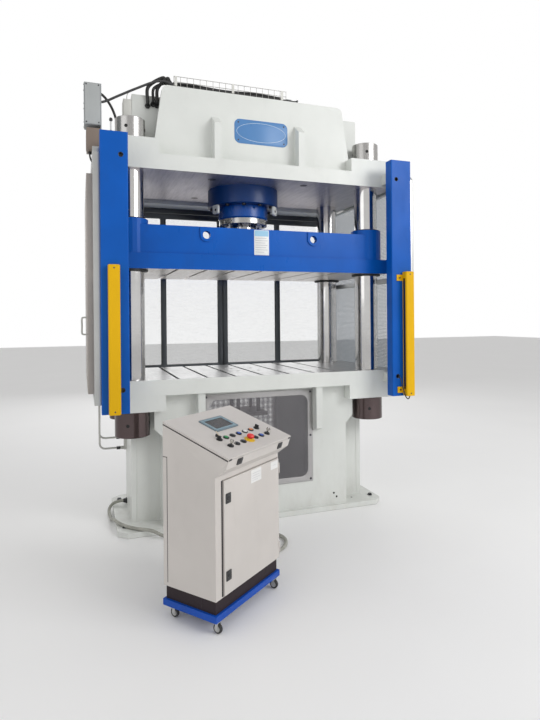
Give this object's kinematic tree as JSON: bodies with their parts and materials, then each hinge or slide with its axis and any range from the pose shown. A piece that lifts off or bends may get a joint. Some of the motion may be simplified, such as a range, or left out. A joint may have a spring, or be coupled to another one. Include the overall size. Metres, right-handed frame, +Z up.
{
  "type": "four-column hydraulic press",
  "caption": "Four-column hydraulic press with slotted table and slide, light-curtain posts, guards, and a wheeled operator console",
  "frame": {"origin": "centre of the floor plate's underside, on the floor under the middle of the press", "axes": "+X to the operator's right along the table, +Y from the front to the rear guard doors, +Z up"},
  "size_m": [2.5906, 2.7028, 3.4493],
  "materials": {
    "base_paint": "painted",
    "grille_steel": "perforated sheet",
    "table_paint": "painted",
    "column_steel": "ground and polished",
    "crown_paint": "painted",
    "slide_paint": "painted",
    "cylinder_paint": "painted",
    "gland_steel": "turned",
    "rod_chrome": "hard chrome",
    "ejector_paint": "painted",
    "ejector_steel": "machined",
    "post_paint": "painted",
    "curtain_paint": "powder coated",
    "guard_frame": "anodised",
    "rear_profile": "dark anodised",
    "tray_steel": "zinc plated wire",
    "box_grey": "moulded",
    "pipe_zinc": "zinc plated",
    "cabinet_paint": "textured paint",
    "lid_paint": "textured paint",
    "latch_black": "moulded",
    "screen_bezel": "moulded",
    "selector_black": "moulded",
    "stop_red": "moulded",
    "plinth_dark": "painted",
    "trolley_paint": "painted",
    "caster_zinc": "zinc plated",
    "caster_rubber": "moulded",
    "conduit_grey": "corrugated",
    "button_green_cap": "moulded",
    "button_black_a_cap": "moulded",
    "button_blue_a_cap": "moulded",
    "button_white_cap": "moulded",
    "button_orange_cap": "moulded",
    "button_black_b_cap": "moulded",
    "button_black_c_cap": "moulded",
    "button_black_d_cap": "moulded",
    "button_blue_b_cap": "moulded"
  },
  "bodies": {
    "press": {"base_frame": "base_paint", "base_grille_front": "grille_steel", "base_grille_rear": "grille_steel", "bolster_table": "table_paint", "cable_tray": "tray_steel", "column_front_left": "column_steel", "column_front_right": "column_steel", "column_rear_left": "column_steel", "column_rear_right": "column_steel", "console_cabinet": "cabinet_paint", "console_plinth": "plinth_dark", "console_trolley": "trolley_paint", "control_conduit": "conduit_grey", "crown": "crown_paint", "cylinder_gland": "gland_steel", "ejector_cylinder": "ejector_paint", "electrical_box": "box_grey", "guard_post_left": "post_paint", "guard_post_right": "post_paint", "light_curtain_left": "curtain_paint", "light_curtain_right": "curtain_paint", "main_cylinder": "cylinder_paint", "pipe_pair": "pipe_zinc", "rear_guard_frame": "rear_profile", "side_guard_left": "guard_frame", "side_guard_right": "guard_frame"},
    "slide_unit": {"slide": "slide_paint", "piston_rod": "rod_chrome"},
    "ejector_unit": {"ejector_plate": "ejector_steel"},
    "rear_door_left_leaf": {"rear_door_left": "rear_profile"},
    "rear_door_right_leaf": {"rear_door_right": "rear_profile"},
    "console_lid_panel": {"console_lid": "lid_paint", "operator_screen": "screen_bezel"},
    "console_door_leaf": {"console_door": "cabinet_paint"},
    "door_latch_upper_cam": {"door_latch_upper": "latch_black"},
    "door_latch_lower_cam": {"door_latch_lower": "latch_black"},
    "lid_latch_left_cam": {"lid_latch_left": "latch_black"},
    "lid_latch_right_cam": {"lid_latch_right": "latch_black"},
    "button_green_unit": {"button_green": "button_green_cap"},
    "button_black_a_unit": {"button_black_a": "button_black_a_cap"},
    "button_blue_a_unit": {"button_blue_a": "button_blue_a_cap"},
    "button_white_unit": {"button_white": "button_white_cap"},
    "button_orange_unit": {"button_orange": "button_orange_cap"},
    "button_black_b_unit": {"button_black_b": "button_black_b_cap"},
    "button_black_c_unit": {"button_black_c": "button_black_c_cap"},
    "button_black_d_unit": {"button_black_d": "button_black_d_cap"},
    "button_blue_b_unit": {"button_blue_b": "button_blue_b_cap"},
    "selector_lever_unit": {"selector_lever": "selector_black"},
    "selector_knob_unit": {"selector_knob": "selector_black"},
    "selector_key_left_unit": {"selector_key_left": "selector_black"},
    "selector_key_right_unit": {"selector_key_right": "selector_black"},
    "emergency_stop_unit": {"emergency_stop": "stop_red"},
    "caster_swivel_front_left": {"caster_fork_front_left": "caster_zinc"},
    "caster_roller_front_left": {"caster_wheel_front_left": "caster_rubber"},
    "caster_swivel_front_right": {"caster_fork_front_right": "caster_zinc"},
    "caster_roller_front_right": {"caster_wheel_front_right": "caster_rubber"},
    "caster_swivel_rear_left": {"caster_fork_rear_left": "caster_zinc"},
    "caster_roller_rear_left": {"caster_wheel_rear_left": "caster_rubber"},
    "caster_swivel_rear_right": {"caster_fork_rear_right": "caster_zinc"},
    "caster_roller_rear_right": {"caster_wheel_rear_right": "caster_rubber"}
  },
  "joints": [
    {"name": "slide_travel", "type": "slide", "parent": "press", "child": "slide_unit", "axis": [0, 0, 1], "range_m": [-0.58, 0.07]},
    {"name": "ejector_travel", "type": "slide", "parent": "press", "child": "ejector_unit", "axis": [0, 0, 1], "range_m": [0, 0.12]},
    {"name": "rear_door_left_hinge", "type": "hinge", "parent": "press", "child": "rear_door_left_leaf", "pos_m": [-1.166, 0.7745, 1.86], "axis": [0, 0, 1], "range_deg": [0, 100]},
    {"name": "rear_door_right_hinge", "type": "hinge", "parent": "press", "child": "rear_door_right_leaf", "pos_m": [1.166, 0.7745, 1.86], "axis": [0, 0, -1], "range_deg": [0, 100]},
    {"name": "console_lid_hinge", "type": "hinge", "parent": "press", "child": "console_lid_panel", "pos_m": [-0.69939, -1.37786, 1.041], "axis": [-0.788, -0.6157, 0], "range_deg": [0, 65]},
    {"name": "console_door_hinge", "type": "hinge", "parent": "press", "child": "console_door_leaf", "pos_m": [-0.23655, -1.48997, 0.474], "axis": [0, 0, 1], "range_deg": [0, 110]},
    {"name": "door_latch_upper_turn", "type": "hinge", "parent": "console_door_leaf", "child": "door_latch_upper_cam", "pos_m": [-0.63098, -1.79839, 0.673], "axis": [-0.6157, 0.788, 0], "range_deg": [0, 90]},
    {"name": "door_latch_lower_turn", "type": "hinge", "parent": "console_door_leaf", "child": "door_latch_lower_cam", "pos_m": [-0.63098, -1.79839, 0.275], "axis": [-0.6157, 0.788, 0], "range_deg": [0, 90]},
    {"name": "lid_latch_left_turn", "type": "hinge", "parent": "press", "child": "lid_latch_left_cam", "pos_m": [-0.58124, -1.84582, 0.871], "axis": [0.5815, -0.7443, -0.3285], "range_deg": [0, 90]},
    {"name": "lid_latch_right_turn", "type": "hinge", "parent": "press", "child": "lid_latch_right_cam", "pos_m": [-0.27391, -1.60571, 0.871], "axis": [0.5815, -0.7443, -0.3285], "range_deg": [0, 90]},
    {"name": "selector_lever_turn", "type": "hinge", "parent": "console_lid_panel", "child": "selector_lever_unit", "pos_m": [-0.65457, -1.71785, 0.95809], "axis": [0.1887, -0.2415, 0.9519], "range_deg": [-45, 45]},
    {"name": "selector_knob_turn", "type": "hinge", "parent": "console_lid_panel", "child": "selector_knob_unit", "pos_m": [-0.38034, -1.5036, 0.95809], "axis": [0.1887, -0.2415, 0.9519], "range_deg": [-45, 45]},
    {"name": "selector_key_left_turn", "type": "hinge", "parent": "console_lid_panel", "child": "selector_key_left_unit", "pos_m": [-0.60945, -1.7756, 0.93449], "axis": [0.1887, -0.2415, 0.9519], "range_deg": [0, 90]},
    {"name": "selector_key_right_turn", "type": "hinge", "parent": "console_lid_panel", "child": "selector_key_right_unit", "pos_m": [-0.33522, -1.56135, 0.93449], "axis": [0.1887, -0.2415, 0.9519], "range_deg": [0, 90]},
    {"name": "button_green_press", "type": "slide", "parent": "console_lid_panel", "child": "button_green_unit", "axis": [-0.1887, 0.2415, -0.9519], "range_m": [0, 0.003], "stiffness_N_per_m": 500, "springref_m": -0.004},
    {"name": "button_black_a_press", "type": "slide", "parent": "console_lid_panel", "child": "button_black_a_unit", "axis": [-0.1887, 0.2415, -0.9519], "range_m": [0, 0.003], "stiffness_N_per_m": 500, "springref_m": -0.004},
    {"name": "button_blue_a_press", "type": "slide", "parent": "console_lid_panel", "child": "button_blue_a_unit", "axis": [-0.1887, 0.2415, -0.9519], "range_m": [0, 0.003], "stiffness_N_per_m": 500, "springref_m": -0.004},
    {"name": "button_white_press", "type": "slide", "parent": "console_lid_panel", "child": "button_white_unit", "axis": [-0.1887, 0.2415, -0.9519], "range_m": [0, 0.003], "stiffness_N_per_m": 500, "springref_m": -0.004},
    {"name": "button_orange_press", "type": "slide", "parent": "console_lid_panel", "child": "button_orange_unit", "axis": [-0.1887, 0.2415, -0.9519], "range_m": [0, 0.003], "stiffness_N_per_m": 500, "springref_m": -0.004},
    {"name": "button_black_b_press", "type": "slide", "parent": "console_lid_panel", "child": "button_black_b_unit", "axis": [-0.1887, 0.2415, -0.9519], "range_m": [0, 0.003], "stiffness_N_per_m": 500, "springref_m": -0.004},
    {"name": "button_black_c_press", "type": "slide", "parent": "console_lid_panel", "child": "button_black_c_unit", "axis": [-0.1887, 0.2415, -0.9519], "range_m": [0, 0.003], "stiffness_N_per_m": 500, "springref_m": -0.004},
    {"name": "button_black_d_press", "type": "slide", "parent": "console_lid_panel", "child": "button_black_d_unit", "axis": [-0.1887, 0.2415, -0.9519], "range_m": [0, 0.003], "stiffness_N_per_m": 500, "springref_m": -0.004},
    {"name": "button_blue_b_press", "type": "slide", "parent": "console_lid_panel", "child": "button_blue_b_unit", "axis": [-0.1887, 0.2415, -0.9519], "range_m": [0, 0.003], "stiffness_N_per_m": 500, "springref_m": -0.004},
    {"name": "emergency_stop_press", "type": "slide", "parent": "console_lid_panel", "child": "emergency_stop_unit", "axis": [-0.1887, 0.2415, -0.9519], "range_m": [0, 0.005]},
    {"name": "caster_swivel_front_left", "type": "hinge", "parent": "press", "child": "caster_swivel_front_left", "pos_m": [-0.70649, -1.80408, 0.06], "axis": [0, 0, 1], "continuous": true},
    {"name": "caster_roll_front_left", "type": "hinge", "parent": "caster_swivel_front_left", "child": "caster_roller_front_left", "pos_m": [-0.6954, -1.81827, 0.025], "axis": [0.788, 0.6157, 0], "continuous": true},
    {"name": "caster_swivel_front_right", "type": "hinge", "parent": "press", "child": "caster_swivel_front_right", "pos_m": [-0.28411, -1.47409, 0.06], "axis": [0, 0, 1], "continuous": true},
    {"name": "caster_roll_front_right", "type": "hinge", "parent": "caster_swivel_front_right", "child": "caster_roller_front_right", "pos_m": [-0.27303, -1.48827, 0.025], "axis": [0.788, 0.6157, 0], "continuous": true},
    {"name": "caster_swivel_rear_left", "type": "hinge", "parent": "press", "child": "caster_swivel_rear_left", "pos_m": [-0.88564, -1.57477, 0.06], "axis": [0, 0, 1], "continuous": true},
    {"name": "caster_roll_rear_left", "type": "hinge", "parent": "caster_swivel_rear_left", "child": "caster_roller_rear_left", "pos_m": [-0.87456, -1.58896, 0.025], "axis": [0.788, 0.6157, 0], "continuous": true},
    {"name": "caster_swivel_rear_right", "type": "hinge", "parent": "press", "child": "caster_swivel_rear_right", "pos_m": [-0.46327, -1.24478, 0.06], "axis": [0, 0, 1], "continuous": true},
    {"name": "caster_roll_rear_right", "type": "hinge", "parent": "caster_swivel_rear_right", "child": "caster_roller_rear_right", "pos_m": [-0.45219, -1.25896, 0.025], "axis": [0.788, 0.6157, 0], "continuous": true}
  ]
}
